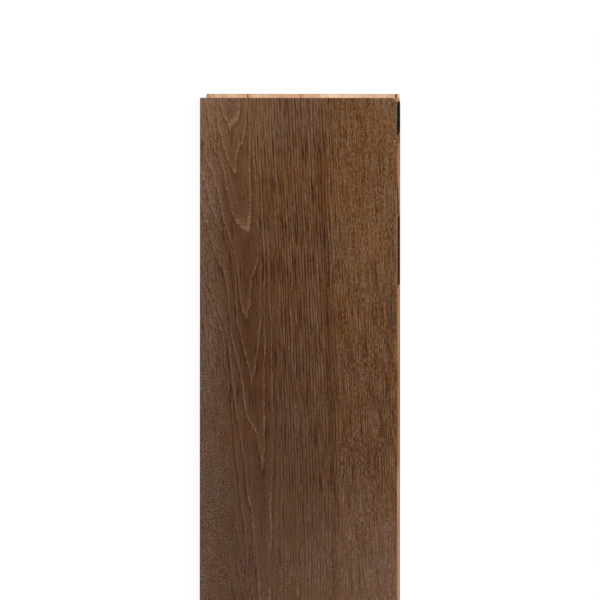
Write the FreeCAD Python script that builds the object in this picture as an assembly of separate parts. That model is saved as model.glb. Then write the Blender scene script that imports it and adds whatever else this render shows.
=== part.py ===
import FreeCAD, Part
import os

# Wide plank floorboard: a stained oak wear layer glued to a plywood core.
# X runs across the board, Y along it and Z up, in millimetres.
# The origin is under the middle of the board, on the plane of its underside.

# Oak face
face_width = 190.0
face_length = 1900.0
wear_thickness = 3.0
bevel_run = 0.8             # eased edge round the face, across the face
bevel_drop = 0.5            # and down from it

# Plywood core
ply_count = 8
ply_thickness = 1.375
core_thickness = ply_count * ply_thickness

# Grooves in the left edge and the lower end
groove_floor = 4.2          # thickness of the lip under the groove
groove_height = 5.0
groove_depth = 4.5
lip_setback = 0.5           # lower lip stands back, so that the oak edges meet first

# Tongues on the right edge and the upper end
side_reach = 3.0
end_reach = 4.0
tongue_clearance = 0.15     # above and below the tongue in a groove
nose_run = 1.5              # taper at the tongue's tip, along the reach
nose_drop = 0.8             # and through the thickness
tongue_setback = 6.0        # the end tongue starts this far from the grooved edge
corner_ease_across = 1.0    # long slant at the corner where the tongues meet
corner_ease_along = 10.0

# Damage and open joints, placed from the face's left edge
chip_across = 4.0           # broken corner of the oak, on the face
chip_along = 4.5
chip_taper = 0.55           # the break's size at the glue line, as a share of its size on the face
joint_place = 45.9          # open joint between two strips of the tongue's ply
joint_width = 1.0
splinter_place = 188.8      # splinter lost from the tongue's tip
splinter_width = 1.2
splinter_length = 2.4

# Edges of the face, from the driving dimensions
left = -(face_width + side_reach) / 2
right = left + face_width
lower = -(face_length + end_reach) / 2
upper = lower + face_length
tip_x = right + side_reach
tip_y = upper + end_reach
board_thickness = core_thickness + wear_thickness
groove_roof = groove_floor + groove_height
tongue_bottom = groove_floor + tongue_clearance
tongue_top = groove_roof - tongue_clearance


def block(x_span, y_span, z_span):
    size = FreeCAD.Vector(x_span[1] - x_span[0], y_span[1] - y_span[0], z_span[1] - z_span[0])
    corner = FreeCAD.Vector(x_span[0], y_span[0], z_span[0])
    return Part.makeBox(size.x, size.y, size.z, corner)


def outline(points, height):
    corners = [FreeCAD.Vector(x, y, height) for x, y in points]
    return Part.makePolygon(corners + corners[:1])


def tapered(wires):
    return Part.makeLoft(wires, True, True)


# Plan of the tongues at one height; inset draws the tips back towards the board
def tongue_plan(inset, height):
    x_end = tip_x - inset
    y_end = tip_y - inset
    points = [
        (left + tongue_setback, lower + groove_depth),
        (x_end, lower + groove_depth),
        (x_end, y_end - corner_ease_along),
        (x_end - corner_ease_across, y_end),
        (left + tongue_setback, y_end),
    ]
    return outline(points, height)


# One plate through the core, standing out as a tongue on two sides
def tongue_plate():
    return tapered([
        tongue_plan(nose_run, tongue_bottom),
        tongue_plan(0, tongue_bottom + nose_drop),
        tongue_plan(0, tongue_top - nose_drop),
        tongue_plan(nose_run, tongue_top),
    ])


# Slots along the groove sides, and the strips that set the lower lips back
def groove_cuts():
    groove_z = (groove_floor, groove_roof)
    lip_z = (0, groove_floor)
    return [
        block((left, left + groove_depth), (lower, upper), groove_z),
        block((left, right), (lower, lower + groove_depth), groove_z),
        block((left, left + lip_setback), (lower, upper), lip_z),
        block((left, right), (lower, lower + lip_setback), lip_z),
    ]


# Gaps in the end tongue: one strip joint as deep as a ply, and one lost splinter two plies deep
def tongue_gaps():
    joint_x = left + joint_place - joint_width / 2
    splinter_x = left + splinter_place - splinter_width / 2
    ply_under_tongue_top = core_thickness - 2 * ply_thickness
    joint_z = (ply_under_tongue_top, tongue_top)
    splinter_z = (ply_under_tongue_top - ply_thickness, tongue_top)
    return [
        block((joint_x, joint_x + joint_width), (upper, tip_y), joint_z),
        block((splinter_x, splinter_x + splinter_width), (tip_y - splinter_length, tip_y), splinter_z),
    ]


def plywood_core():
    core = block((left, right), (lower, upper), (0, core_thickness))
    core = core.cut(groove_cuts())
    core = core.fuse(tongue_plate()).removeSplitter()
    return core.cut(tongue_gaps())


# Plan of the oak at one height; inset draws all four edges in
def oak_plan(inset, height):
    points = [
        (left + inset, lower + inset),
        (right - inset, lower + inset),
        (right - inset, upper - inset),
        (left + inset, upper - inset),
    ]
    return outline(points, height)


# Corner broken off the oak, smaller at the glue line than on the face
def chipped_corner():
    levels = [(1.0, board_thickness), (chip_taper, core_thickness)]
    wires = []
    for share, height in levels:
        points = [
            (right, upper),
            (right - share * chip_across, upper),
            (right, upper - share * chip_along),
        ]
        wires.append(outline(points, height))
    return tapered(wires)


def oak_wear_layer():
    oak = tapered([
        oak_plan(0, core_thickness),
        oak_plan(0, board_thickness - bevel_drop),
        oak_plan(bevel_run, board_thickness),
    ])
    return oak.cut(chipped_corner())


nodes = {"plywood_core": plywood_core(), "oak_wear_layer": oak_wear_layer()}
os.makedirs("parts", exist_ok=True)
for name, shape in nodes.items():
    shape.exportStep("parts/" + name + ".step")
    box = shape.BoundBox
    print(name, shape.ShapeType, len(shape.Solids), shape.isValid(), round(shape.Volume / 1000, 1), "cm3")
    print("  x", box.XMin, box.XMax, " y", box.YMin, box.YMax, " z", box.ZMin, box.ZMax)
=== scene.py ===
import bpy
import bmesh
import math
import numpy as np
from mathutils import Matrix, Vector

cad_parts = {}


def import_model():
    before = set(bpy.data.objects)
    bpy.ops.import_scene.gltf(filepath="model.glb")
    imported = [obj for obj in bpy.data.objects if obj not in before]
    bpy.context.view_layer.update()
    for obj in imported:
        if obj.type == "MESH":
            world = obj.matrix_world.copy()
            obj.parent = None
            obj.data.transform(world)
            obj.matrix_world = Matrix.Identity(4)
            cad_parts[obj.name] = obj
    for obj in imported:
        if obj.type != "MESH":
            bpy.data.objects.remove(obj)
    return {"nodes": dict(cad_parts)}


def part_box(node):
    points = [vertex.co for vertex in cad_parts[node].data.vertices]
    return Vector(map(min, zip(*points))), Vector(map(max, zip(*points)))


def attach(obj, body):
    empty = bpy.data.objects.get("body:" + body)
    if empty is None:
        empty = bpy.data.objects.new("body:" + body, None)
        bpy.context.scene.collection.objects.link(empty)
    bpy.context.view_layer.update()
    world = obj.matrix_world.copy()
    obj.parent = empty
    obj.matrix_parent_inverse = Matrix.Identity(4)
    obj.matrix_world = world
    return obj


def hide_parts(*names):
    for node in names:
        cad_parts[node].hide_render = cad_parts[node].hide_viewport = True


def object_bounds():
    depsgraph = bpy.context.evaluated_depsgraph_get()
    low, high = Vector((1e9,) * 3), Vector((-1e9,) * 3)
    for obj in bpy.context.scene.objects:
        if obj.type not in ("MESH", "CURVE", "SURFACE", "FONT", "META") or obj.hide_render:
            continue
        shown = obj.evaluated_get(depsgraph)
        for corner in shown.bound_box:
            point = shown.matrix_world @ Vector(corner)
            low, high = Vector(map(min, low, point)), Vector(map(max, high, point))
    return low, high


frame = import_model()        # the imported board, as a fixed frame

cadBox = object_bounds()
mm = 0.001
print("frame:", ", ".join(frame["nodes"]))


# small helpers for node trees

def put(tree, value, socket):
    if isinstance(value, bpy.types.NodeSocket):
        tree.links.new(value, socket)
    else:
        socket.default_value = value


def calc(tree, operation, *values):
    node = tree.nodes.new("ShaderNodeMath")
    node.operation = operation
    for value, socket in zip(values, node.inputs):
        put(tree, value, socket)
    return node.outputs[0]


# the same operation over any number of values
def chain(tree, operation, values):
    total = values[0]
    for value in values[1:]:
        total = calc(tree, operation, total, value)
    return total


def plus(tree, *values):
    return chain(tree, "ADD", values)


def minus(tree, *values):
    return chain(tree, "SUBTRACT", values)


def times(tree, *values):
    return chain(tree, "MULTIPLY", values)


def most(tree, *values):
    return chain(tree, "MAXIMUM", values)


# 0 below low, 1 above high and smooth between; falls if low is above high
def rise(tree, value, low, high):
    node = tree.nodes.new("ShaderNodeMapRange")
    node.interpolation_type = "SMOOTHSTEP"
    node.inputs["To Min"].default_value = 0.0 if low < high else 1.0
    node.inputs["To Max"].default_value = 1.0 if low < high else 0.0
    put(tree, value, node.inputs["Value"])
    put(tree, min(low, high), node.inputs["From Min"])
    put(tree, max(low, high), node.inputs["From Max"])
    return node.outputs["Result"]


# 1 between two limits, with soft ends
def window(tree, value, limits, soft):
    low, high = limits
    begun = rise(tree, value, low - soft, low + soft)
    notEnded = rise(tree, value, high + soft, high - soft)
    return times(tree, begun, notEnded)


def point(tree, x, y, z):
    node = tree.nodes.new("ShaderNodeCombineXYZ")
    for value, socket in zip((x, y, z), node.inputs):
        put(tree, value, socket)
    return node.outputs[0]


fineDetail = 2.0         # for noise with finer noise in it


# noise about 0, at a place that is counted in sizes of its features
def noiseAt(tree, where, detail, layer=None):
    node = tree.nodes.new("ShaderNodeTexNoise")
    if layer is not None:
        node.noise_dimensions = "4D"
        put(tree, layer, node.inputs["W"])
    tree.links.new(where, node.inputs["Vector"])
    node.inputs["Scale"].default_value = 1.0
    node.inputs["Detail"].default_value = detail
    node.inputs["Roughness"].default_value = 0.55
    return minus(tree, node.outputs["Fac"], 0.5)


# on a face: its width across the grain and its length along it, in mm
def streaks(tree, across, along, width, length, layer, detail=1.0):
    where = point(tree, times(tree, across, 1 / width), times(tree, along, 1 / length), layer)
    return noiseAt(tree, where, detail)


# through a solid: its size in each direction, in mm
def solidNoise(tree, place, sizes, layer, detail=1.0):
    where = point(tree, *[times(tree, value, 1 / size) for value, size in zip(place, sizes)])
    return noiseAt(tree, where, detail, layer)


def field(tree, name):
    node = tree.nodes.new("ShaderNodeAttribute")
    node.attribute_name = name
    return node.outputs["Fac"]


# place on the piece, in mm along each axis
def millimetres(tree):
    coords = tree.nodes.new("ShaderNodeTexCoord")
    scaled = tree.nodes.new("ShaderNodeVectorMath")
    scaled.operation = "SCALE"
    scaled.inputs["Scale"].default_value = 1 / mm
    tree.links.new(coords.outputs["Object"], scaled.inputs[0])
    split = tree.nodes.new("ShaderNodeSeparateXYZ")
    tree.links.new(scaled.outputs[0], split.inputs[0])
    return split.outputs


def ramp(tree, value, stops, sheen=0.0):
    node = tree.nodes.new("ShaderNodeValToRGB")
    elements = node.color_ramp.elements
    while len(elements) < len(stops):
        elements.new(0.5)
    for element, (place, colour) in zip(elements, stops):
        element.position = place
        element.color = shade(colour, sheen)
    put(tree, value, node.inputs[0])
    return node.outputs["Color"]


def mixColour(tree, share, first, second, way="MIX"):
    node = tree.nodes.new("ShaderNodeMix")
    node.data_type = "RGBA"
    node.blend_type = way
    put(tree, share, node.inputs[0])
    put(tree, first, node.inputs[6])       # the sockets for colours
    put(tree, second, node.inputs[7])
    return node.outputs[2]


# 0 to 255 as seen, to the linear numbers that shaders take, less the sheen that will lie over them
def shade(colour, sheen=0.0):
    seen = [c / 255 for c in colour]
    linear = [c / 12.92 if c <= 0.04045 else ((c + 0.055) / 1.055) ** 2.4 for c in seen]
    return tuple(max(c - sheen, 0.0004) for c in linear) + (1.0,)


def newMaterial(name):
    material = bpy.data.materials.new(name)
    material.use_nodes = True
    return material, material.node_tree, material.node_tree.nodes["Principled BSDF"]


def addBump(tree, shader, height, depth):
    bump = tree.nodes.new("ShaderNodeBump")
    bump.inputs["Distance"].default_value = depth * mm
    put(tree, height, bump.inputs["Height"])
    tree.links.new(bump.outputs[0], shader.inputs["Normal"])


# shapes along one direction: a hump about a middle, and a smooth step from 0 to 1

def hump(value, middle, size):
    return np.exp(-((value - middle) / size) ** 2)


def rampUp(value, low, high):
    share = np.clip((value - low) / (high - low), 0, 1)
    return share * share * (3 - 2 * share)


# smooth waves of size about 1, with the given lengths across and along
def waver(x, y, acrossLength, alongLength, seed, count=7):
    random = np.random.default_rng(seed)
    total = np.zeros(np.broadcast(x, y).shape)
    for step in range(count):
        acrossTurn, alongTurn = random.uniform(-1, 1, 2) * math.tau
        start = random.uniform(0, math.tau)
        total = total + np.sin(x * acrossTurn / acrossLength + y * alongTurn / alongLength + start)
    return total / math.sqrt(count / 2)


# rows of waves: size, length across, length along and seed
def waves(rows, x, y):
    return sum(size * waver(x, y, *shape) for size, *shape in rows)


# where the growth rings run through the oak, in mm from the face's left edge and upper end

oakGrain = {
    "archStart": 27.5,        # middle of the arches at the upper end
    "archSwing": 48.0,        # how far they wander to the right further down
    "archLength": 820.0,      # length over which they do
    # the first arches: how clearly each shows, how wide its line is at the tip,
    # and the places it passes, from its left limb round the tip to its right limb
    "arches": [
        (1.15, 1.3, [
            (19.5, 0), (21.3, 12), (24, 19), (29, 27.5),
            (33.5, 26), (36, 21), (37.5, 12), (37.5, 0),
        ]),
        (1.2, 0.9, [
            (15.5, 0), (19, 31), (22, 43), (25, 56), (29, 65), (34, 74),
            (35.5, 60), (37.5, 50), (41.5, 43), (43.5, 31), (45, 0),
        ]),
        (0.9, 1.2, [
            (5, 0), (8, 21), (12, 42), (17.5, 52), (21, 65), (28, 94), (31, 106), (36.5, 118), (45, 132),
            (47.5, 126), (47.7, 100), (48.3, 60), (48.3, 0),
        ]),
        (0.75, 1.2, [
            (-6, 0), (8, 60), (20, 98), (25, 119), (33, 154), (36, 170), (38.5, 195), (43, 209),
            (47.3, 198), (48.5, 173), (52, 164), (55, 151), (56, 137), (53.5, 79), (50.8, 0),
        ]),
        (0.8, 0.9, [
            (-15, 0), (10, 100), (30, 146), (33.5, 170), (36, 214), (43.5, 244), (47, 260), (50, 272),
            (54, 264), (56.5, 228), (57.5, 214), (57.5, 170), (53.3, 0),
        ]),
        (0.95, 1.5, [
            (-10, 60), (10, 135), (21, 161), (27, 185), (30.5, 223), (34, 243), (41.5, 277), (44.5, 299),
            (50.5, 314), (57, 324), (60.6, 334), (61.2, 352),
            (62.3, 330), (62.5, 300), (62.2, 243), (61, 170), (56.2, 0),
        ]),
        (0.95, 1.6, [
            (-10, 120), (12, 190), (28, 228), (31.5, 276), (38.5, 315), (44, 353), (58, 476), (64, 530),
            (68.5, 430), (69, 378), (71.4, 320), (65.5, 170), (59.2, 0),
        ]),
        (0.6, 1.0, [
            (-12, 140), (10, 195), (21, 223), (30, 291), (35, 329), (46, 445), (67, 590),
            (74, 470), (77, 320), (71, 160), (62.5, 0),
        ]),
    ],
    "joinLength": 100.0,      # below the last of these, where the tips come back to the middle
    "firstTip": -15.0,        # of the ring inside the first arch, beyond the upper end
    "lastTip": 6500.0,        # far below the board, so that lines reach its right edge all the way down
    "ringStep": 68.0,         # usual distance between further tips
    "ringSpread": 0.28,       # and how much it varies, as a share
    "seed": 11,
    "tipRound": 4.5,          # size of the round part of a tip, further down
    "leftSlope": 11.0,        # length along the grain per mm across, left of the tips
    "rightSlope": 12.0,       # just right of them
    "edgeSlope": 24.0,        # and further right, where the lines are close together
    "bendAt": 15.0,           # where the slope grows, from the middle
    "bendSoft": 8.0,
    "limbReach": 400.0,       # how far aside a limb is worked out
    "limbSteps": 800,
    "leastGap": 0.8,          # between two lines
    "gapGrowth": 0.02,        # how fast they part above a tip
    "sway": [(0.4, 90, 150, 3), (0.2, 25, 60, 4)],      # waves in the lines, across
    "stretch": [(1.5, 30, 90, 5)],                      # and along
    "lineWidth": 1.1,         # of a light line, where rings are close
    "leastShare": 0.075,      # of a ring that its line takes up
    "shareLimits": (0.06, 0.42),
    "shareStep": 0.8,         # mm to both sides, to measure how close the rings are
    "tipSize": 7.0,           # how far to both sides a line keeps its width at the tip
    "widths": (0.8, 1.2),     # of further lines
    "widthSeed": 8,
    "clearness": (0.5, 1.1),      # and how clearly they show
    "clearnessSeed": 9,
}


def archMiddle(y):
    return oakGrain["archStart"] + oakGrain["archSwing"] * np.sin(y * math.pi / 2 / oakGrain["archLength"])


# through the tips of the first arches, then on along the middle
def tipLine(y):
    tips = [max(places, key=lambda place: place[1]) for clearness, width, places in oakGrain["arches"]]
    across, down = np.array(tips).T
    further = rampUp(y, down[-1], down[-1] + oakGrain["joinLength"])
    return np.interp(y, down, across) * (1 - further) + archMiddle(y) * further


def ringTips():
    random = np.random.default_rng(oakGrain["seed"])
    tips = [oakGrain["firstTip"]]
    tips += [max(down for across, down in places) for clearness, width, places in oakGrain["arches"]]
    while tips[-1] < oakGrain["lastTip"]:
        step = 1 + oakGrain["ringSpread"] * random.uniform(-1, 1)
        tips.append(tips[-1] + oakGrain["ringStep"] * step)
    return np.array(tips)


# distance past the bend, growing smoothly from nothing at the middle
def pastBend(aside):
    place, soft = oakGrain["bendAt"], oakGrain["bendSoft"]
    past = aside - place
    start = (math.hypot(place, soft) - place) / 2
    return (np.hypot(past, soft) + past) / 2 - start


# height of a limb above its tip, at a distance to one side of it
def limbHeight(aside, side):
    away = np.hypot(aside, oakGrain["tipRound"]) - oakGrain["tipRound"]
    if side < 0:
        return oakGrain["leftSlope"] * away
    bend = (oakGrain["edgeSlope"] - oakGrain["rightSlope"]) * pastBend(aside)
    return oakGrain["rightSlope"] * away + bend


# where one ring's line runs, to the left (-1) or the right (1) of the middle
def limbLine(number, side, tip, y):
    if 0 < number <= len(oakGrain["arches"]):
        places = np.array(oakGrain["arches"][number - 1][2])
        turn = places[:, 1].argmax()
        limb = places[:turn + 1] if side < 0 else places[:turn - 1:-1]
        return np.interp(y, limb[:, 1], limb[:, 0])
    aside = np.linspace(0, oakGrain["limbReach"], oakGrain["limbSteps"] + 1)
    return archMiddle(y) + side * np.interp(tip - y, limbHeight(aside, side), aside)


# rings counted outwards from the middle, with whole numbers on the lines
def growthRings(x, y, depth):
    across = x + waves(oakGrain["sway"], x, y)
    down = y + waves(oakGrain["stretch"], x, y)
    tips = ringTips()
    middle = tipLine(down)
    first = np.interp(down, tips, np.arange(len(tips)))
    ring = first.copy()
    for side in (-1, 1):
        off = side * (across - middle) - depth
        inner = np.zeros_like(off)
        for number, tip in enumerate(tips):
            gap = np.clip(oakGrain["gapGrowth"] * (tip - down), 0, oakGrain["leastGap"])
            reach = np.maximum(side * (limbLine(number, side, tip, down) - middle), inner + gap)
            reach = np.where(down < tip, reach, inner)
            low, high = np.maximum(number - 1, first), np.maximum(number, first)
            ring += (high - low) * np.clip((off - inner) / np.maximum(reach - inner, 1e-6), 0, 1)
            inner = reach
            if (inner > off).all():
                break
    return ring


# one number per ring, given for the first few and drawn at random for the rest
def perRing(ring, given, limits, seed):
    random = np.random.default_rng(seed)
    number = np.floor(ring - 0.5).astype(int).clip(0)      # of the nearest line
    values = random.uniform(*limits, number.max() + 1)
    values[:len(given)] = given
    return values[number]


# share of a ring that its light line takes up: narrow where rings are far apart
def lineShare(x, y):
    step = oakGrain["shareStep"]
    across = growthRings(x + step, y, 0.0) - growthRings(x - step, y, 0.0)
    along = growthRings(x, y + step, 0.0) - growthRings(x, y - step, 0.0)
    share = oakGrain["lineWidth"] * np.hypot(across, along) / (2 * step)
    given = [width for clearness, width, places in oakGrain["arches"]]
    wide = perRing(growthRings(x, y, 0.0), given, oakGrain["widths"], oakGrain["widthSeed"])
    atTip = hump(x, tipLine(y), oakGrain["tipSize"])
    share = np.maximum(share, oakGrain["leastShare"]) * (1 + (wide - 1) * atTip)
    return np.clip(share, *oakGrain["shareLimits"])


# figure and tones of the face: places for the table's rows, each 0 to 1 along one direction

def near(middle, size):
    return lambda value: hump(value, middle, size)


def beyond(low, high):
    return lambda value: rampUp(value, low, high)


def before(low, high):
    return lambda value: 1 - rampUp(value, low, high)


def between(low, fullFrom, fullTo, high):
    return lambda value: rampUp(value, low, fullFrom) * (1 - rampUp(value, fullTo, high))


def fading(length):
    return lambda value: np.exp(-value / length)


def everywhere(value):
    return 1.0


# rows say how much, where across from the left edge and where down from the upper end
oakFigure = {
    "plainTone": 83.3,        # redness as seen, 0 to 255
    "darkest": 63.0,          # redness of tone 0
    "toneRange": 72.0,        # and how much more that of tone 1 is
    "lighter": [
        (11, near(0, 24), everywhere),                # from left to right
        (3, near(0, 60), everywhere),
        (13, beyond(60, 185), everywhere),
        (15.5, everywhere, fading(105)),              # towards the upper end
        (17, near(0, 75), fading(105)),
        (10, beyond(118, 132), near(130, 95)),        # bands and broad patches
        (10, beyond(25, 90), beyond(340, 480)),
        (4, beyond(118, 132), beyond(260, 350)),
        (6, near(62, 14), near(30, 70)),
        (-6, near(40, 18), near(205, 80)),
        (-3, near(110, 24), near(250, 110)),
        (4, near(112, 42), beyond(390, 460)),
        (4, beyond(155, 185), near(70, 45)),
        (-4, beyond(155, 185), near(185, 40)),
        # painted shade along the left edge, where the eased edge faces away from the lamp
        (-5, near(0, 1.8), near(290, 110)),
    ],
    # smaller patches, by the tips and elsewhere
    "patches": [
        (10, near(39.5, 5), near(117, 6)), (22, near(45, 4.5), near(126, 7)),
        (6, near(31, 4), near(26, 5)), (-10, near(28.5, 4), near(9, 11)),
        (7, near(44, 3.5), near(202, 7)), (9, near(53, 4), near(320, 7)),
        (-4, near(31, 4), near(48, 14)), (-3, near(48, 4), near(250, 20)),
        (5, near(8, 8), near(30, 14)), (3.5, near(6, 8), near(80, 70)),
        (-7, near(24, 11), near(118, 36)), (-5, near(63, 15), near(255, 45)),
        (3.5, near(70, 14), near(134, 32)), (4.5, near(79, 9), near(90, 28)),
        (-4, near(104, 14), near(95, 20)), (-4, near(136, 10), near(155, 30)),
        (5, near(142, 16), near(243, 38)), (3.5, near(80, 22), near(365, 50)),
    ],
    "toneWaves": [(1.2, 60, 120, 25)],
    "lowerWaves": [(2.5, 120, 700, 21)],
    "lowerPart": (450, 700),
    # a darker strand right of the middle
    "strandStart": 114.0,
    "strandSlope": 0.035,
    "strandBend": 400.0,
    "strandWaves": [(1.5, 1, 150, 26)],
    "strandSize": 3.2,
    "strandDarker": 11.0,
    "strandBegins": (0, 70),
    # greyer on the left and below, warmer on the right
    "cooler": [
        (0.83, near(0, 36), beyond(0, 150)),
        (0.6, everywhere, beyond(100, 400)),
        (-0.15, near(46, 18), everywhere),
        (0.45, near(46, 18), beyond(290, 420)),
        (-0.1, near(90, 25), beyond(390, 450)),
        (-0.3, beyond(105, 140), before(380, 480)),
        (0.08, beyond(105, 140), near(130, 50)),
        (0.1, beyond(105, 140), between(60, 110, 170, 230)),
        (-0.03, beyond(105, 140), between(170, 230, 380, 480)),
    ],
    "coolWaves": [(0.10, 50, 80, 22)],
    "coolLimits": (-0.4, 1.12),
    # where the grain stands out more or less
    "livelier": [
        (-0.30, everywhere, beyond(270, 480)),
        (0.22, between(58, 72, 110, 130), near(245, 80)),
        (-0.12, between(58, 72, 110, 130), beyond(370, 450)),
        (-0.26, before(20, 45), near(155, 65)),
        (-0.1, beyond(120, 140), near(290, 90)),
    ],
    "livelyWaves": [(0.08, 120, 260, 27)],
    # speckle on the left, spreading further in lower down, and at the upper right
    "borderSlope": 0.036,
    "borderBend": 600.0,
    "borderWaves": [(2.5, 40, 60, 23)],
    "speckleEdge": (8, 27),
    "speckleRight": [(0.75, beyond(125, 165), before(60, 140))],
    # coarser speckle lower down, and pale specks where it isn't
    "gritBegins": (170, 400),
    "gritEdge": (10, 30),
    "gritHides": 0.9,
    "specksFade": [(0.65, everywhere, beyond(90, 170))],
    "specksRight": [(0.75, beyond(115, 150), before(110, 240))],
    # flecks on the right
    "fleckEdge": (118, 146),
    "fleckWander": 2.0,       # how much more ragged their border is than that of the speckle
    # fibres, which follow the arches in part
    "fibreFollows": 0.6,
    "fibreWaves": [(0.8, 60, 140, 24)],
    "calmShift": 2.0,         # calm wood by the tips
    "calmSize": 17.0,
    "dotted": [(1.0, before(46, 58), before(95, 150))],      # lines of pale dots at the upper left
    # lines that run on, in the middle, and lines that sway and fade out, lower down
    "running": [(0.48, everywhere, everywhere), (0.52, everywhere, near(250, 80))],
    "runningFades": [(0.7, everywhere, beyond(340, 470))],
    "patchyBegins": (380, 470),
    # how much quieter fibres and hairlines are by the tips and between dots
    "calmQuiet": [(0.6, everywhere, everywhere), (-0.36, everywhere, beyond(400, 480))],
    "dottedQuiet": 0.4,
    "plainClear": 0.62,       # how clearly lines show
    "calmClear": 0.36,        # and how much more by the tips and where they are dotted
    "dottedClear": 0.46,
}


def gather(rows, x, y):
    return sum(much * across(x) * down(y) for much, across, down in rows)


# smooth fields over the face, which the finish reads
def oakFields(x, y):
    figure = oakFigure
    seen = figure["plainTone"] + gather(figure["lighter"], x, y) + gather(figure["patches"], x, y)
    seen += waves(figure["toneWaves"], x, y)
    seen += waves(figure["lowerWaves"], x, y) * rampUp(y, *figure["lowerPart"])
    strand = figure["strandStart"] + figure["strandSlope"] * np.minimum(y, figure["strandBend"])
    strand += waves(figure["strandWaves"], 0, y)
    darker = figure["strandDarker"] * rampUp(y, *figure["strandBegins"])
    seen -= darker * hump(x, strand, figure["strandSize"])
    cool = gather(figure["cooler"], x, y) + waves(figure["coolWaves"], x, y)
    vivid = 1 + gather(figure["livelier"], x, y) + waves(figure["livelyWaves"], x, y)

    wander = waves(figure["borderWaves"], x, y)
    border = figure["borderSlope"] * np.minimum(y, figure["borderBend"]) + wander
    speckle = 1 - rampUp(x - border, *figure["speckleEdge"])
    speckle = np.maximum(speckle, gather(figure["speckleRight"], x, y))
    grit = rampUp(y, *figure["gritBegins"]) * (1 - rampUp(x - border, *figure["gritEdge"]))
    specks = speckle * (1 - figure["gritHides"] * grit) * (1 - gather(figure["specksFade"], x, y))
    specks = np.maximum(specks, gather(figure["specksRight"], x, y))
    fleck = rampUp(x + figure["fleckWander"] * wander, *figure["fleckEdge"])
    follow = figure["fibreFollows"] * (archMiddle(y) - archMiddle(0))
    fibre = x - follow + waves(figure["fibreWaves"], x, y)

    calm = hump(x, tipLine(y) + figure["calmShift"], figure["calmSize"])
    dotted = gather(figure["dotted"], x, y)
    inside = 1 - np.maximum(speckle, fleck)
    running = gather(figure["running"], x, y) * (1 - gather(figure["runningFades"], x, y))
    quiet = np.maximum(calm * gather(figure["calmQuiet"], x, y), figure["dottedQuiet"] * dotted)
    clear = figure["plainClear"] + figure["calmClear"] * calm + figure["dottedClear"] * dotted
    return {
        "tone": (seen - figure["darkest"]) / figure["toneRange"],
        "cool": np.clip(cool, *figure["coolLimits"]),
        "speckle": speckle, "grit": grit, "specked": specks, "fleck": fleck, "fibre": fibre,
        "calm": calm, "vivid": vivid, "dotted": dotted, "steady": np.maximum(calm, inside),
        "straight": inside * (1 - calm) * running, "patchy": inside * rampUp(y, *figure["patchyBegins"]),
        "lively": (1 - quiet) * vivid, "clear": clear * vivid,
    }


# oak wear layer: a closed mesh with the brushed relief, the eased edges and the broken corner

oakLayer = {
    "bevelRun": 0.8,
    "bevelDrop": 0.5,
    "columnStep": 0.63,       # mesh across the grain, mm
    "rowSteps": (3.5, 9.5),   # and along it: by the clear arches, and further down
    "rowChange": 525.0,
    "reliefDepth": 0.08,
    "reliefShape": (0.4, 2.0),        # its deepest place and its start, in line widths before a ring ends
    "chipAcross": 4.0,        # broken corner on the face
    "chipAlong": 4.5,
    "chipTaper": 0.55,        # its size at the glue line, as a share
}


# evenly spaced places from start to end, without the last
def spread(start, end, step):
    return np.linspace(start, end, round((end - start) / step), endpoint=False)


# points of the face, in mm from its left edge and upper end
def faceGrid(width, length):
    bevel, change = oakLayer["bevelRun"], oakLayer["rowChange"]
    nearStep, farStep = oakLayer["rowSteps"]
    columns = [[0], spread(bevel, width - bevel, oakLayer["columnStep"]), [width - bevel, width]]
    upperRows, lowerRows = spread(bevel, change, nearStep), spread(change, length - bevel, farStep)
    rows = [[0], upperRows, lowerRows, [length - bevel, length]]
    return np.meshgrid(np.concatenate(columns), np.concatenate(rows))


# how far below the plane of the face each point lies
def faceDrop(x, y):
    ring = growthRings(x, y, 0.0)
    toLine = (1 - (ring - np.floor(ring))) / lineShare(x, y)
    deepest, start = oakLayer["reliefShape"]
    drop = oakLayer["reliefDepth"] * (1 - rampUp(toLine, deepest, start)) * rampUp(toLine, 0.0, deepest)
    border = np.ones_like(x, dtype=bool)
    border[1:-1, 1:-1] = False
    drop[border] = oakLayer["bevelDrop"]
    return drop


# what the finish reads at each point
def giveFields(mesh, x, y, depth):
    ring = growthRings(x, y, depth)
    given = [clearness for clearness, width, places in oakGrain["arches"]]
    strength = perRing(ring, given, oakGrain["clearness"], oakGrain["clearnessSeed"])
    fields = {"ring": ring, "share": lineShare(x, y), "strength": strength}
    fields.update(oakFields(x, y))
    for name, values in fields.items():
        layer = mesh.attributes.new(name, "FLOAT", "POINT")
        layer.data.foreach_set("value", values.astype(np.float32))


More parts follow.
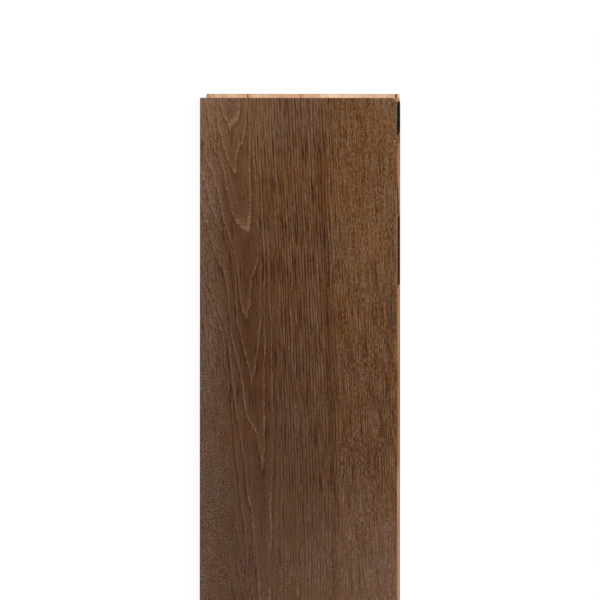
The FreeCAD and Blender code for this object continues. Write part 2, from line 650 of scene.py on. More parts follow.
def buildOak():
    low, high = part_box("oak_wear_layer")
    x, y = faceGrid((high.x - low.x) / mm, (high.y - low.y) / mm)
    along, across = x.shape
    top = [low.x + x * mm, high.y - y * mm, high.z - faceDrop(x, y) * mm]
    top = np.stack(top, axis=-1).reshape(-1, 3)
    index = np.arange(x.size).reshape(along, across)
    quads = [index[1:, :-1], index[1:, 1:], index[:-1, 1:], index[:-1, :-1]]
    faces = np.stack(quads, axis=-1).reshape(-1, 4).tolist()

    # walls down to the glue line, from a loop round the border
    loop = np.concatenate([index[0, :-1], index[:-1, -1], index[-1, :0:-1], index[:0:-1, 0]])
    under = {int(v): x.size + n for n, v in enumerate(loop)}
    bottom = top[loop].copy()
    bottom[:, 2] = low.z
    wallStart = len(faces)
    for a, b in zip(loop.tolist(), np.roll(loop, -1).tolist()):
        faces.append([b, a, under[a], under[b]])

    # underneath, one strip per row with a fan at each end
    left = [under[int(v)] for v in index[:, 0]]
    right = [under[int(v)] for v in index[:, -1]]
    for n in range(1, along - 2):
        faces.append([left[n], right[n], right[n + 1], left[n + 1]])
    half = across // 2
    for row, a, b in ((index[0], left[1], right[1]), (index[-1, ::-1], right[-2], left[-2])):
        line = [under[int(v)] for v in row]
        faces.extend([[line[n], line[n + 1], a] for n in range(half)])
        faces.extend([[line[n], line[n + 1], b] for n in range(half, across - 1)])
        faces.append([a, line[half], b])

    # stain on the face, raw oak on the walls and underneath
    mesh = bpy.data.meshes.new("oak_wear_layer_brushed")
    mesh.from_pydata(np.concatenate([top, bottom]).tolist(), [], faces)
    onFace = np.arange(len(faces)) < wallStart
    mesh.polygons.foreach_set("material_index", np.where(onFace, 0, 1).astype(np.int32))
    mesh.polygons.foreach_set("use_smooth", onFace)
    xAll = np.concatenate([x.ravel(), x.ravel()[loop]])
    yAll = np.concatenate([y.ravel(), y.ravel()[loop]])
    depth = np.concatenate([np.zeros(x.size), np.full(len(loop), (high.z - low.z) / mm)])
    giveFields(mesh, xAll, yAll, depth)
    breakCorner(mesh, low, high)
    layFlat(mesh, low, high)
    piece = bpy.data.objects.new("oak_wear_layer_brushed", mesh)
    bpy.context.collection.objects.link(piece)
    print("oak wear layer:", len(mesh.vertices), "points,", len(mesh.polygons), "faces")
    return piece


def breakCorner(mesh, low, high):
    share = oakLayer["chipTaper"]
    across, along = oakLayer["chipAcross"] * mm, oakLayer["chipAlong"] * mm
    first = Vector((high.x - across, high.y, high.z))
    second = Vector((high.x, high.y - along, high.z))
    third = Vector((high.x - share * across, high.y, low.z))
    outward = (second - first).cross(third - first).normalized()
    if outward.dot(Vector((1, 1, 0))) < 0:
        outward.negate()
    solid = bmesh.new()
    solid.from_mesh(mesh)
    everything = solid.verts[:] + solid.edges[:] + solid.faces[:]
    cut = bmesh.ops.bisect_plane(solid, geom=everything, plane_co=first, plane_no=outward, clear_outer=True)
    rim = [g for g in cut["geom_cut"] if isinstance(g, bmesh.types.BMEdge)]
    made = bmesh.ops.edgeloop_fill(solid, edges=rim, mat_nr=1)
    bmesh.ops.recalc_face_normals(solid, faces=made["faces"])
    solid.to_mesh(mesh)
    solid.free()


# flat map of the oak: the face in strips side by side, then a column for each edge and the glue line

flatMap = {
    "name": "OFBake",
    "strips": 3,
    "faceShare": 0.9,         # of the map's width
    "margin": 0.01,           # left free at both ends of a strip or column, as a share of it
    "columns": 5,             # left, right, lower and upper edge, and the glue line
    "columnMargin": 0.15,     # left free at both sides of a column
}


def layFlat(mesh, low, high):
    size = high - low
    corners = np.empty(len(mesh.loops), dtype=np.int32)
    mesh.loops.foreach_get("vertex_index", corners)
    points = np.empty(3 * len(mesh.vertices))
    mesh.vertices.foreach_get("co", points)
    places = (points.reshape(-1, 3)[corners] - low) / size
    faces = mesh.polygons
    owner = np.repeat(np.arange(len(faces)), [len(face.vertices) for face in faces])
    middles = ((np.array([face.center for face in faces]) - low) / size)[owner]
    normals = np.array([face.normal for face in faces])[owner]
    onFace = np.array([face.material_index == 0 for face in faces])[owner]

    across, along, deep = places[:, 0], 1 - places[:, 1], 1 - places[:, 2]
    margin, inside = flatMap["margin"], 1 - 2 * flatMap["margin"]
    strips, share = flatMap["strips"], flatMap["faceShare"]
    strip = np.floor((1 - middles[:, 1]) * strips)
    faceU = (strip + margin + inside * across) / strips * share
    faceV = margin + inside * (along * strips - strip)

    under = normals[:, 2] < -0.5
    atSide = ~under & (abs(normals[:, 0]) > abs(normals[:, 1]))
    positive = np.where(atSide, normals[:, 0], normals[:, 1]) > 0
    columns, gap = flatMap["columns"], flatMap["columnMargin"]
    column = np.where(under, columns - 1, np.where(atSide, 0, 2) + positive)
    into = np.where(under, across, deep)
    edgeU = share + (column + gap + (1 - 2 * gap) * into) * (1 - share) / columns
    edgeV = margin + inside * np.where(under | atSide, along, across)
    layer = mesh.uv_layers.new(name=flatMap["name"])
    spots = np.stack([np.where(onFace, faceU, edgeU), np.where(onFace, faceV, edgeV)], axis=-1)
    layer.data.foreach_set("uv", spots.astype(np.float32).ravel())


# stained oak: lightness is gathered from the grain, then given its colour

oakLook = {
    "lineGain": 0.57,         # light lines of the growth rings
    "edgeGain": 0.58,         # and the dark hairline beside each
    "bodyGain": 0.12,         # slow lightening through each ring
    "hairGain": 0.55,         # dark hairlines
    "fineGain": 1.12,         # fine fibres
    "speckleGain": 1.42,      # close speckle on the left
    "speckGain": 0.62,        # pale specks in the upper part
    "fleckGain": 1.43,        # short flecks on the right
    "poreGain": 0.48,         # fine pores all over
    "lineMean": 0.55,         # taken off again, so that the marks leave the tone as it is
    "edgeMean": 0.35,
    "bodyMean": 0.5,
    "hairMean": 0.15,
    "speckMean": 0.1,
    "lineBegins": (2.1, 0.5),         # in line widths before the end of a ring
    "lineEnds": (0.0, 0.4),
    "lineShift": 0.9,                 # outwards, so that the line's middle is on the ring
    "edgeEnds": (1.0, 0.3),           # in line widths after it
    "bodyRise": (0.1, 0.95),          # share of a ring
    "weakPlace": 0.46,        # of the weak line inside each ring, as a share of it
    "lasting": 0.75,          # least that is left of a line by the tips
    "fadeLength": 70,         # over which a line comes and goes
    "fadeLimits": (-0.22, 0.12),
    "fadeApart": 3.7,         # from one ring's noise to the next
    "fadeLayers": (2, 17),    # for the lines and the weak ones
    # noise: how strong, its width across the grain, its length along it, its layer and its detail
    "noise": {
        "wander": (0.7, 5, 35, 1), "jitter": (0.2, 5, 9, 13), "uneven": (2.5, 3, 4, 25),
        "fine": (1.0, 0.7, 9, 5, fineDetail), "longFine": (0.85, 0.7, 28, 26, fineDetail),
        "speckle": (1.0, 1.4, 1.5, 6), "clouds": (0.3, 9, 11, 18), "ringSpeckle": (0.55, 0.15, 5.5, 16),
        "shortFlecks": (1.0, 0.7, 4.5, 7), "longFlecks": (1.0, 1.0, 36, 10),
        "broadFlecks": (0.25, 9, 70, 28), "pores": (1.0, 1.5, 1.5, 24),
        "hueBands": (0.4, 28, 60, 21), "huePatches": (0.54, 7, 11, 11), "hueSpecks": (0.23, 1.4, 3, 12),
        "blush": (1.0, 9, 22, 19), "fineBlush": (0.6, 2.5, 6, 20),
    },
    # noise that is cut off below one limit and full above another: width, length, layer and limits
    "marks": {
        "dots": (3.6, 5.0, 3, -0.05, 0.07), "dashes": (0.9, 24, 8, -0.12, 0.12),
        "beads": (2.4, 2.8, 30, 0.02, 0.10), "edges": (0.9, 20, 15, -0.12, 0.12),
        "hairs": (1.1, 40, 4, -0.05, -0.20), "specks": (2.1, 2.4, 29, 0.09, 0.18),
        "clusters": (24, 45, 27, -0.12, 0.12), "plainWood": (22, 42, 31, -0.08, 0.12),
        "nicks": (2.6, 3.0, 22, -0.12, 0.12), "paintedHighlightMarks": (2.6, 3.0, 22, -0.35, 0.05),
        "spots": (2.0, 2.0, 23, 0.08, 0.16),
    },
    # how much there is of something: everywhere, and more or less by the fields of the figure
    "shares": {
        "sway": {"everywhere": 1.0, "steady": -0.5, "patchy": 1.0},
        "dots": {"everywhere": 0.5, "dotted": 0.1, "straight": -0.2},
        "beads": {"dotted": 2.0},
        "dashes": {"everywhere": 0.3, "straight": 0.15, "dotted": -0.2},
        "unbroken": {"everywhere": 0.05, "straight": 0.1},
        "unbrokenTips": {"everywhere": 0.35, "dotted": -0.3},
        "weak": {"everywhere": 0.12, "calm": 0.15},
        "fine": {"everywhere": 1.0, "straight": -0.45, "patchy": 0.6},
        "smooth": {"everywhere": 1.0, "grit": -0.75},
        "speckle": {"everywhere": 0.5, "grit": 0.9},
        "shortFlecks": {"everywhere": 0.5, "cluster": 0.8},
        "longFlecks": {"everywhere": 1.15, "cluster": -0.5},
        "unlinedLeft": {"everywhere": 0.15, "grit": 0.75},
        "unlinedRight": {"fleck": 0.7},
        "unlinedPatches": {"patchy": 0.6},
        "pores": {"everywhere": 0.9, "straight": 0.5, "fleck": 0.8, "patchy": 0.9},
        "hue": {"everywhere": 0.28, "cool": 0.41, "lines": 0.11},
        "blush": {"everywhere": 0.495, "calm": -0.06},
        "roughness": {"everywhere": 0.55, "fine": 0.3, "lines": 0.10},
        "height": {"fine": 1.0, "hairs": -0.6, "lines": -0.3},
    },
    "warm": [(0.0, (60, 30, 0)), (0.5, (96, 62, 30)), (1.0, (132, 97, 65))],
    "cool": [(0.0, (60, 39, 28)), (0.5, (96, 75, 63)), (1.0, (132, 111, 100))],
    "tints": [(0.25, (255, 244, 255)), (0.75, (247, 255, 247))],      # a trace of pink or of olive
    "shine": 0.06,
    "sheen": 0.006,
    "bumpDepth": 0.10,
}


def oakNoise(tree, name, across, along):
    strong, *size = oakLook["noise"][name]
    return times(tree, streaks(tree, across, along, *size), strong)


def oakMarks(tree, name, across, along):
    *size, low, high = oakLook["marks"][name]
    return rise(tree, streaks(tree, across, along, *size), low, high)


# values that aren't fields of the figure are handed over by name
def oakShare(tree, name, **values):
    parts = []
    for kind, share in oakLook["shares"][name].items():
        if kind == "everywhere":
            parts.append(share)
        else:
            value = values[kind] if kind in values else field(tree, kind)
            parts.append(times(tree, value, share))
    return plus(tree, *parts)


# a thin light line at the end of a ring, and where along the grain it shows
def ringLine(tree, part, share):
    toLine = calc(tree, "DIVIDE", minus(tree, 1.0, part), share)
    begun = rise(tree, toLine, *oakLook["lineBegins"])
    return times(tree, begun, rise(tree, toLine, *oakLook["lineEnds"]))


def fadeAlong(tree, number, y, layer):
    apart = times(tree, number, oakLook["fadeApart"])
    return rise(tree, streaks(tree, apart, y, 1, oakLook["fadeLength"], layer), *oakLook["fadeLimits"])


# growth rings: each lightens slowly and ends in a thin, broken line, with a dark hairline beyond it
def ringFigure(tree, x, y, fibre):
    share, calm = field(tree, "share"), field(tree, "calm")
    wander = plus(tree, oakNoise(tree, "wander", fibre, y), oakNoise(tree, "jitter", x, y))
    wander = times(tree, wander, oakShare(tree, "sway"))
    uneven = plus(tree, times(tree, oakNoise(tree, "uneven", x, y), calm), -oakLook["lineShift"])
    ring = plus(tree, field(tree, "ring"), wander, times(tree, share, uneven))
    part = calc(tree, "FRACT", ring)
    number = calc(tree, "FLOOR", ring)
    broken = plus(
        tree,
        times(tree, oakMarks(tree, "dots", x, y), oakShare(tree, "dots")),
        times(tree, oakMarks(tree, "beads", x, y), oakShare(tree, "beads")),
        times(tree, oakMarks(tree, "dashes", fibre, y), oakShare(tree, "dashes")),
        times(tree, calm, oakShare(tree, "unbrokenTips")),
        oakShare(tree, "unbroken"),
    )
    mainLayer, weakLayer = oakLook["fadeLayers"]
    fade = most(tree, fadeAlong(tree, number, y, mainLayer), times(tree, calm, oakLook["lasting"]))
    main = times(tree, ringLine(tree, part, share), fade, field(tree, "strength"))
    weakPart = calc(tree, "FRACT", plus(tree, ring, oakLook["weakPlace"]))
    weakFade = fadeAlong(tree, plus(tree, number, 0.5), y, weakLayer)      # counted halfway between rings
    weak = times(tree, ringLine(tree, weakPart, share), weakFade, oakShare(tree, "weak"))
    lines = times(tree, plus(tree, main, weak), broken)
    lines = plus(tree, lines, times(tree, share, -oakLook["lineMean"]))
    pastLine = calc(tree, "DIVIDE", part, share)
    edges = times(tree, rise(tree, pastLine, *oakLook["edgeEnds"]), oakMarks(tree, "edges", fibre, y))
    edges = plus(tree, edges, times(tree, share, -oakLook["edgeMean"]))
    body = plus(tree, rise(tree, part, *oakLook["bodyRise"]), -oakLook["bodyMean"])
    return lines, edges, body


# close speckle, with broad clouds in its coarser part and a trace of the rings in the rest
def speckleFigure(tree, x, y):
    return plus(
        tree,
        times(tree, oakNoise(tree, "speckle", x, y), oakShare(tree, "speckle")),
        times(tree, oakNoise(tree, "clouds", x, y), field(tree, "grit")),
        times(tree, oakNoise(tree, "ringSpeckle", field(tree, "ring"), y), oakShare(tree, "smooth")),
    )


# flecks, the short ones in clusters and the long ones mostly outside them
def fleckFigure(tree, x, y, fibre):
    cluster = oakMarks(tree, "clusters", x, y)
    total = oakNoise(tree, "broadFlecks", fibre, y)
    for name in ("shortFlecks", "longFlecks"):
        share = oakShare(tree, name, cluster=cluster)
        total = plus(tree, total, times(tree, oakNoise(tree, name, fibre, y), share))
    return total


# where rings and hairlines show: less in the speckle, in the flecks and in plain patches
def linedPart(tree, x, y):
    left = times(tree, field(tree, "speckle"), oakShare(tree, "unlinedLeft"))
    beside = most(tree, left, oakShare(tree, "unlinedRight"))
    plain = times(tree, oakMarks(tree, "plainWood", x, y), oakShare(tree, "unlinedPatches"))
    return times(tree, minus(tree, 1.0, beside), minus(tree, 1.0, plain))


def stainedOak():
    material, tree, shader = newMaterial("stained_oak_brushed")
    x, y = millimetres(tree)[:2]
    fibre, left, right = field(tree, "fibre"), field(tree, "speckle"), field(tree, "fleck")
    lively, vivid = field(tree, "lively"), field(tree, "vivid")
    lines, edges, body = ringFigure(tree, x, y, fibre)
    hairs = plus(tree, oakMarks(tree, "hairs", fibre, y), -oakLook["hairMean"])
    fine = plus(
        tree,
        times(tree, oakNoise(tree, "fine", fibre, y), oakShare(tree, "fine")),
        times(tree, oakNoise(tree, "longFine", fibre, y), field(tree, "straight")),
    )
    specks = plus(tree, oakMarks(tree, "specks", x, y), -oakLook["speckMean"])
    pores = times(tree, oakNoise(tree, "pores", x, y), oakShare(tree, "pores"))
    lined = linedPart(tree, x, y)
    light = plus(
        tree,
        field(tree, "tone"),
        times(tree, lines, lined, field(tree, "clear"), oakLook["lineGain"]),
        times(tree, edges, lined, lively, -oakLook["edgeGain"]),
        times(tree, body, lined, oakLook["bodyGain"]),
        times(tree, hairs, lined, lively, -oakLook["hairGain"]),
        times(tree, fine, lively, oakShare(tree, "smooth"), oakLook["fineGain"]),
        times(tree, speckleFigure(tree, x, y), left, vivid, oakLook["speckleGain"]),
        times(tree, specks, field(tree, "specked"), oakLook["speckGain"]),
        times(tree, fleckFigure(tree, x, y, fibre), right, vivid, oakLook["fleckGain"]),
        times(tree, pores, oakLook["poreGain"]),
    )

    # from warm brown to a cooler one, with a trace of pink or of olive
    hue = plus(
        tree,
        oakShare(tree, "hue", lines=lines),
        oakNoise(tree, "hueBands", fibre, y),
        oakNoise(tree, "huePatches", x, y),
        oakNoise(tree, "hueSpecks", x, y),
    )
    warm = ramp(tree, light, oakLook["warm"], oakLook["sheen"])
    cool = ramp(tree, light, oakLook["cool"], oakLook["sheen"])
    blush = plus(tree, oakNoise(tree, "blush", fibre, y), oakNoise(tree, "fineBlush", x, y))
    tint = ramp(tree, plus(tree, blush, oakShare(tree, "blush")), oakLook["tints"])
    colour = mixColour(tree, 1.0, mixColour(tree, hue, warm, cool), tint, "MULTIPLY")
    tree.links.new(wornEdgesAndHighlight(tree, x, y, colour), shader.inputs["Base Color"])
    tree.links.new(oakShare(tree, "roughness", fine=fine, lines=lines), shader.inputs["Roughness"])
    shader.inputs["Specular IOR Level"].default_value = oakLook["shine"]
    height = oakShare(tree, "height", fine=fine, hairs=hairs, lines=lines)
    addBump(tree, shader, height, oakLook["bumpDepth"])
    return material


# worn edges: nicks along the upper end, and dirt and pale spots along the right edge, with a painted
# highlight where the eased right edge catches the light

oakWearAndHighlight = {
    "bare": (186, 150, 118),          # wood that shows where the stain is worn off
    "paintedHighlight": (156, 130, 110),        # painted highlight, where the eased right edge catches the light
    "greyed": (98, 87, 75),           # and where it is dirty
    "nickReach": (0.9, 0.2),          # from the end or edge: where it stops, and where it is full
    "spotReach": (9, 2),
    "paintedHighlightReach": (1.2, 0.5),
    "greyedReach": (4.5, 0.8),
    "spotPlace": (70, 40),            # down from the upper end
    "paintedHighlightPlace": ((88.0, 184.0), 10),       # limits, and how soft they are
    "greyedPlace": ((6.0, 36.0), 4),
    "nickShare": 0.5,
    "spotShare": 0.5,
    "paintedHighlightShare": 0.6,
    "greyedShare": 0.5,
}


def wornEdgesAndHighlight(tree, x, y, colour):
    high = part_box("oak_wear_layer")[1]
    fromEnd = minus(tree, high.y / mm, y)
    fromSide = minus(tree, high.x / mm, x)
    nicks = times(tree, rise(tree, fromEnd, *oakWearAndHighlight["nickReach"]), oakMarks(tree, "nicks", x, y))
    spots = times(tree, rise(tree, fromSide, *oakWearAndHighlight["spotReach"]), oakMarks(tree, "spots", x, y))
    spots = times(tree, spots, rise(tree, fromEnd, *oakWearAndHighlight["spotPlace"]), oakWearAndHighlight["spotShare"])
    # a painted highlight along the eased right edge, broken up by noise
    paintedHighlight = times(tree, rise(tree, fromSide, *oakWearAndHighlight["paintedHighlightReach"]), oakMarks(tree, "paintedHighlightMarks", x, y))
    paintedHighlight = times(tree, paintedHighlight, window(tree, fromEnd, *oakWearAndHighlight["paintedHighlightPlace"]), oakWearAndHighlight["paintedHighlightShare"])
    greyed = rise(tree, fromSide, *oakWearAndHighlight["greyedReach"])
    greyed = times(tree, greyed, window(tree, fromEnd, *oakWearAndHighlight["greyedPlace"]), oakWearAndHighlight["greyedShare"])
    bare = most(tree, times(tree, nicks, oakWearAndHighlight["nickShare"]), spots)
    for share, name in ((greyed, "greyed"), (paintedHighlight, "paintedHighlight"), (bare, "bare")):
        colour = mixColour(tree, share, colour, shade(oakWearAndHighlight[name], oakLook["sheen"]))
    return colour


# oak where the stain hasn't reached: the sawn edges and the break

rawOakLook = {
    "colours": [(0.0, (122, 92, 66)), (0.5, (172, 137, 104)), (1.0, (208, 174, 138))],
    "plainTone": 0.55,
    "bandDarker": 0.25,       # through each ring
    "bandRise": (0.2, 0.9),
    "fine": (0.5, 7, 31, fineDetail),         # width, length, layer and detail
    "fineGain": 0.9,
    "roughness": 0.75,
    "shine": 0.2,
    "bumpDepth": 0.15,
}


def rawOak():
    material, tree, shader = newMaterial("raw_oak_edge")
    x, y, z = millimetres(tree)
    part = calc(tree, "FRACT", field(tree, "ring"))
    band = rise(tree, part, *rawOakLook["bandRise"])
    fine = streaks(tree, plus(tree, x, z), y, *rawOakLook["fine"])
    light = plus(
        tree,
        rawOakLook["plainTone"],
        times(tree, band, -rawOakLook["bandDarker"]),
        times(tree, fine, rawOakLook["fineGain"]),
    )
    tree.links.new(ramp(tree, light, rawOakLook["colours"]), shader.inputs["Base Color"])
    shader.inputs["Roughness"].default_value = rawOakLook["roughness"]
    shader.inputs["Specular IOR Level"].default_value = rawOakLook["shine"]
    addBump(tree, shader, fine, rawOakLook["bumpDepth"])
    return material


# plywood core: plies told apart by height, with the grain of every second one along the board

coreLook = {
    "ply": 1.375,
    "height": 11.0,
    "colours": [(0.0, (150, 100, 62)), (0.5, (218, 177, 141)), (1.0, (246, 216, 184))],
    "pink": [(0.0, (158, 96, 62)), (0.5, (226, 174, 138)), (1.0, (250, 212, 182))],
    "plainTone": 0.52,
    "grainGain": 0.85,
    "stripGain": 0.9,
    "crossDarker": 0.08,      # plies with their grain across
    "glueDarker": 0.35,
    "glueLimits": ((0.07, 0.03), (0.93, 0.97)),       # share of a ply, at its top and its bottom
    "plainHue": 0.45,
    "hueGain": 3.0,
    # noise: its size across the board, along it and through it
    "grain": (0.8, 30, 0.6),
    "crossGrain": (30, 0.8, 0.6),
    "strip": (11, 400, 9),
    "crossStrip": (400, 40, 9),
    "hue": (16, 60, 9),
    "layerStep": 3.7,         # from one ply's noise to the next
    "hueLayer": 5.0,
    "roughness": 0.8,
    "shine": 0.05,
    "bumpDepth": 0.1,
    "glueDepth": 0.5,
    "tip": (112, 78, 52),     # painted shade on the sloping noses of the tongues, also used by the end tongue's right corner
    # black: stain on the side tongue, and painted shade where the splinter is missing
    "black": (24, 16, 5),
    # brown: painted shade in the end tongue's open joint
    "brown": (58, 36, 20),
}


# lightness and hue of the plies, then their grain and the glue between them for the relief
def plies(tree, place):
    level = times(tree, minus(tree, coreLook["height"], place[2]), 1 / coreLook["ply"])
    ply = calc(tree, "FLOOR", level)
    within = calc(tree, "FRACT", level)
    along = calc(tree, "MODULO", ply, 2.0)       # 1 in every second ply
    across = minus(tree, 1.0, along)
    layer = times(tree, ply, coreLook["layerStep"])
    grain = plus(
        tree,
        times(tree, along, solidNoise(tree, place, coreLook["grain"], layer, fineDetail)),
        times(tree, across, solidNoise(tree, place, coreLook["crossGrain"], layer, fineDetail)),
    )
    strips = plus(
        tree,
        times(tree, along, solidNoise(tree, place, coreLook["strip"], layer)),
        times(tree, across, solidNoise(tree, place, coreLook["crossStrip"], layer)),
    )
    glue = most(tree, *[rise(tree, within, *limits) for limits in coreLook["glueLimits"]])
    light = plus(
        tree,
        coreLook["plainTone"],
        times(tree, grain, coreLook["grainGain"]),
        times(tree, strips, coreLook["stripGain"]),
        times(tree, across, -coreLook["crossDarker"]),
        times(tree, glue, -coreLook["glueDarker"]),
    )
    patches = solidNoise(tree, place, coreLook["hue"], plus(tree, layer, coreLook["hueLayer"]))
    hue = plus(tree, coreLook["plainHue"], times(tree, patches, coreLook["hueGain"]))
    return light, hue, grain, glue


# end tongue: strips of its upper ply, painted light beside the oak against its shadow, and painted shade in
# the open joint, where the splinter is missing and on the sloping nose

endLook = {
    # strips, from the face's left edge: how much lighter and how much pinker
    "strips": [
        ((0, 14.5), -0.22, 0.0), ((0, 45.9), -0.06, -0.3), ((66, 115), -0.07, 0.2),
        ((116, 141), 0.26, -0.4), ((141, 160), 0.24, 0.5), ((160, 179), 0.22, 0.0),
    ],
    "stripSoft": 0.6,
    "begins": (6.0, 0.0),     # down from the face's upper end, as are the next ones: less is further out
    "rootPaintedLight": 0.1,       # painted light beside the oak, against the shadow that it casts on the tongue
    "root": (-2.2, -0.6),
    "joint": 45.9,            # from the face's left edge
    "jointReach": (1.2, 0.5),
    "jointBegins": (0.3, -0.3),
    "jointShare": 0.25,
    "splinter": 188.8,
    "splinterReach": (1.0, 0.6),
    "splinterBegins": (-0.4, -1.0),
    # painted shade on the sloping nose
    "noseShadeBegins": (-2.6, -3.8),
    "noseShadeShare": 0.2,
    "cornerReach": (-3.0, -1.0),      # past the face's right edge
    "cornerEnds": (-1.5, -0.5),
    "cornerShare": 0.45,
}


def endTongue(tree, fromLeft, pastRight, down, light, hue):
    atEnd = rise(tree, down, *endLook["begins"])
    for limits, lighter, pinker in endLook["strips"]:
        strip = times(tree, window(tree, fromLeft, limits, endLook["stripSoft"]), atEnd)
        light = plus(tree, light, times(tree, strip, lighter))
        hue = plus(tree, hue, times(tree, strip, pinker))
    # painted light beside the oak, against the shadow that it casts on the tongue
    root = times(tree, rise(tree, down, *endLook["root"]), atEnd, endLook["rootPaintedLight"])
    light = plus(tree, light, root)
    colour = ramp(tree, light, coreLook["colours"])
    colour = mixColour(tree, hue, colour, ramp(tree, light, coreLook["pink"]))

    # painted shade in the open joint
    fromJoint = calc(tree, "ABSOLUTE", minus(tree, fromLeft, endLook["joint"]))
    joint = times(tree, rise(tree, fromJoint, *endLook["jointReach"]), endLook["jointShare"])
    joint = times(tree, joint, rise(tree, down, *endLook["jointBegins"]))
    # painted shade where the splinter is missing
    fromSplinter = calc(tree, "ABSOLUTE", minus(tree, fromLeft, endLook["splinter"]))
    splinter = rise(tree, fromSplinter, *endLook["splinterReach"])
    splinter = times(tree, splinter, rise(tree, down, *endLook["splinterBegins"]))
    corner = times(tree, rise(tree, pastRight, *endLook["cornerReach"]), endLook["cornerShare"])
    corner = times(tree, corner, rise(tree, down, *endLook["cornerEnds"]))
    # painted shade on the sloping nose of the tongue
    tip = times(tree, rise(tree, down, *endLook["noseShadeBegins"]), endLook["noseShadeShare"])
    for share, name in ((most(tree, corner, tip), "tip"), (joint, "brown"), (splinter, "black")):
        colour = mixColour(tree, share, colour, shade(coreLook[name]))
    return colour, light


# side tongue: browner, stained in places, with painted shade on its sloping nose and, along the face's
# edge, stain and painted shadow

sideLook = {
    "tan": [(0.0, (98, 62, 36)), (0.5, (158, 115, 83)), (1.0, (204, 163, 127))],
    "sand": [(0.0, (110, 76, 52)), (0.5, (170, 134, 108)), (1.0, (214, 180, 150))],
    "stainColours": [(0.2, (44, 24, 10)), (0.8, (74, 48, 30))],
    "begins": (-0.4, 0.1),    # past the face's right edge
    "upperEnd": (1.0, 4.0),   # down from the face's upper end
    # stretches, down from the upper end: how much lighter and how sandy
    "stretches": [((235, 355), -0.08, 0.0), ((355, 640), 0.02, 0.9)],
    "stretchSoft": 8.0,
    # painted shade on the sloping nose, past the face's right edge
    "noseShadeBegins": (1.5, 2.7),
    "noseShadeShare": 0.5,
    # stains, down from the upper end: limits, and how soft they are; the edge one is partly painted shadow
    # at the shoulder beside the face
    "stains": {
        "black": ((3.9, 36.0), 0.8), "brown": ((34.7, 47.0), 2.0),
        "edge": ((84.0, 114.0), 3.0), "dark": ((114.6, 183.0), 0.5),
    },
    "darkBegins": (0.0, 0.6),         # past the right edge
    "brownShare": 0.8,
    "edgeShare": 0.9,
    "brownBlots": (-0.12, 0.10),
    "edgeBlots": (-0.25, -0.05),
    "edgeSlope": 0.045,       # the stain and painted shadow along the edge grow wider further down
    "edgeEnds": (-2.6, -3.2),
    "ragged": (1.2, 6, 2),    # size of the noise across, along and through
    "raggedLayer": 21.0,
    "raggedGain": 9.0,
    "slant": 1.2,             # of the stains' ends
    "blots": (0.8, 5, 1),
    "blotLayer": 22.0,
}


def sideTongue(tree, place, pastRight, down, light, colour):
    beside = rise(tree, pastRight, *sideLook["begins"])
    beside = times(tree, beside, rise(tree, down, *sideLook["upperEnd"]))
    sandy = 0.0
    for limits, lighter, sandier in sideLook["stretches"]:
        stretch = window(tree, down, limits, sideLook["stretchSoft"])
        light = plus(tree, light, times(tree, stretch, lighter))
        sandy = plus(tree, times(tree, stretch, sandier), sandy)
    side = mixColour(tree, sandy, ramp(tree, light, sideLook["tan"]), ramp(tree, light, sideLook["sand"]))
    colour = mixColour(tree, beside, colour, side)
    # painted shade on the sloping nose of the tongue
    tip = times(tree, beside, rise(tree, pastRight, *sideLook["noseShadeBegins"]), sideLook["noseShadeShare"])
    colour = mixColour(tree, tip, colour, shade(coreLook["tip"]))

    ragged = solidNoise(tree, place, sideLook["ragged"], sideLook["raggedLayer"], fineDetail)
    ragged = times(tree, ragged, sideLook["raggedGain"])
    ragged = plus(tree, down, ragged, times(tree, pastRight, sideLook["slant"]))
    blots = solidNoise(tree, place, sideLook["blots"], sideLook["blotLayer"], fineDetail)
    stains = {name: window(tree, ragged, *ends) for name, ends in sideLook["stains"].items()}
    dark = times(tree, stains["dark"], rise(tree, pastRight, *sideLook["darkBegins"]))
    brown = times(tree, stains["brown"], rise(tree, blots, *sideLook["brownBlots"]), sideLook["brownShare"])
    # along the face's edge: partly stain, partly painted shadow at the shoulder
    wedge = plus(tree, pastRight, times(tree, down, -sideLook["edgeSlope"]))
    edge = times(tree, stains["edge"], rise(tree, wedge, *sideLook["edgeEnds"]))
    edge = times(tree, edge, rise(tree, blots, *sideLook["edgeBlots"]), sideLook["edgeShare"])
    stained = times(tree, most(tree, dark, brown, edge), beside)
    stainColour = ramp(tree, plus(tree, blots, 0.5), sideLook["stainColours"])
    colour = mixColour(tree, stained, colour, stainColour)
    return mixColour(tree, times(tree, stains["black"], beside), colour, shade(coreLook["black"]))


def rawPlywood():
    low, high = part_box("oak_wear_layer")
    material, tree, shader = newMaterial("raw_plywood_layers")
    place = millimetres(tree)
    fromLeft = minus(tree, place[0], low.x / mm)
    pastRight = minus(tree, place[0], high.x / mm)
    down = minus(tree, high.y / mm, place[1])
    light, hue, grain, glue = plies(tree, place)
    colour, light = endTongue(tree, fromLeft, pastRight, down, light, hue)
    colour = sideTongue(tree, place, pastRight, down, light, colour)
    tree.links.new(colour, shader.inputs["Base Color"])
    shader.inputs["Roughness"].default_value = coreLook["roughness"]
    shader.inputs["Specular IOR Level"].default_value = coreLook["shine"]
    height = plus(tree, grain, times(tree, glue, -coreLook["glueDepth"]))
    addBump(tree, shader, height, coreLook["bumpDepth"])
    return material


oak = buildOak()
oak.data.materials.append(stainedOak())
oak.data.materials.append(rawOak())
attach(oak, "root")
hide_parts("oak_wear_layer")

core = bpy.data.objects["plywood_core"]
for slot in core.material_slots:
    slot.material = rawPlywood()
print("finishes on")


# camera straight above, as far over the board as the picture shows

picture = {
    "side": 600,              # pixels
    "faceLeft": 199.85,       # left edge of the face, in pixels
    "faceUpper": 97.8,        # upper end of the face
    "turn": 0.03,             # degrees, clockwise in the picture
    "faceWidth": 197.3,       # width of the face
    "cameraHeight": 4.0,      # metres above the face
    "clipEnd": 100.0,
}


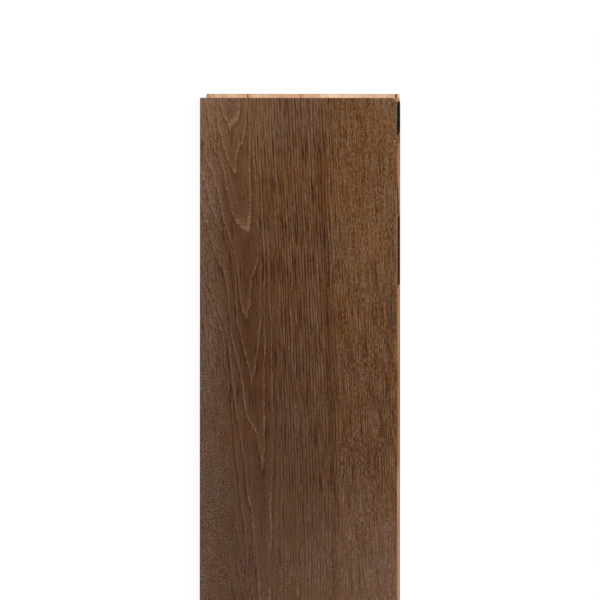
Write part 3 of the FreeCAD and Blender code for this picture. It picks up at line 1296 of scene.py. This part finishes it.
def addCamera():
    low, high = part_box("oak_wear_layer")
    pixel = (high.x - low.x) / picture["faceWidth"]
    middle = picture["side"] / 2
    data = bpy.data.cameras.new("camera")
    data.lens = data.sensor_width * picture["cameraHeight"] / (pixel * picture["side"])
    data.clip_end = picture["clipEnd"]
    camera = bpy.data.objects.new("camera", data)
    camera.rotation_euler = (0, 0, math.radians(picture["turn"]))
    camera.location = (
        low.x + (middle - picture["faceLeft"]) * pixel,
        high.y - (middle - picture["faceUpper"]) * pixel,
        high.z + picture["cameraHeight"],
    )
    bpy.context.collection.objects.link(camera)
    bpy.context.scene.camera = camera


# plain white floor, even sky light and one broad soft lamp

studio = {
    "sky": 0.5,
    "lamp": 1.81,
    "lampSpread": 55,         # degrees across
    "lampTilt": 30,           # from straight above
    "lampSide": 20,           # towards this direction, from +X round to +Y
    "lampDistance": 3.0,
    "floorWhite": 0.92,
    "glow": 1.03,             # the floor's own light, where the camera sees it
    "glowShare": 0.88,
    "floorSize": 60.0,
    "floorGap": 0.2,          # mm under the board
}


def cameraSees(tree):
    path = tree.nodes.new("ShaderNodeLightPath")
    return most(tree, *[path.outputs[f"Is {kind} Ray"] for kind in ("Camera", "Glossy", "Transmission")])


def addLight():
    world = bpy.data.worlds.new("studio")
    bpy.context.scene.world = world
    world.use_nodes = True
    tree = world.node_tree
    sky = tree.nodes["Background"]
    strength = plus(tree, studio["sky"], times(tree, cameraSees(tree), 1 - studio["sky"]))
    tree.links.new(strength, sky.inputs["Strength"])
    sky.inputs["Color"].default_value = (1, 1, 1, 1)
    data = bpy.data.lights.new("lamp", "SUN")
    data.energy = studio["lamp"]
    data.angle = math.radians(studio["lampSpread"])
    lamp = bpy.data.objects.new("lamp", data)
    side, tilt = math.radians(studio["lampSide"]), math.radians(studio["lampTilt"])
    towards = Vector((math.cos(side) * math.sin(tilt), math.sin(side) * math.sin(tilt), math.cos(tilt)))
    lamp.rotation_mode = "QUATERNION"
    lamp.rotation_quaternion = towards.to_track_quat("Z", "Y")
    lamp.location = towards * studio["lampDistance"]
    bpy.context.collection.objects.link(lamp)


def addFloor():
    mesh = bpy.data.meshes.new("floor")
    half = studio["floorSize"] / 2
    level = cadBox[0].z - studio["floorGap"] * mm
    corners = [(-half, -half, level), (half, -half, level), (half, half, level), (-half, half, level)]
    mesh.from_pydata(corners, [], [(0, 1, 2, 3)])
    floor = bpy.data.objects.new("floor", mesh)
    bpy.context.collection.objects.link(floor)
    material, tree, shader = newMaterial("floor_white")
    tree.nodes.remove(shader)
    matte = tree.nodes.new("ShaderNodeBsdfDiffuse")
    white = studio["floorWhite"]
    matte.inputs["Color"].default_value = (white, white, white, 1)
    glow = tree.nodes.new("ShaderNodeEmission")
    mix = tree.nodes.new("ShaderNodeMixShader")
    glow.inputs["Strength"].default_value = studio["glow"]
    put(tree, times(tree, cameraSees(tree), studio["glowShare"]), mix.inputs[0])
    tree.links.new(matte.outputs[0], mix.inputs[1])
    tree.links.new(glow.outputs[0], mix.inputs[2])
    tree.links.new(mix.outputs[0], tree.nodes["Material Output"].inputs["Surface"])
    mesh.materials.append(material)
    floor.visible_diffuse = False      # light from the sky also reaches the underside
    floor.visible_shadow = False


addCamera()
addLight()
addFloor()
bpy.context.scene.view_settings.view_transform = "Standard"
print("camera, light and floor in place")
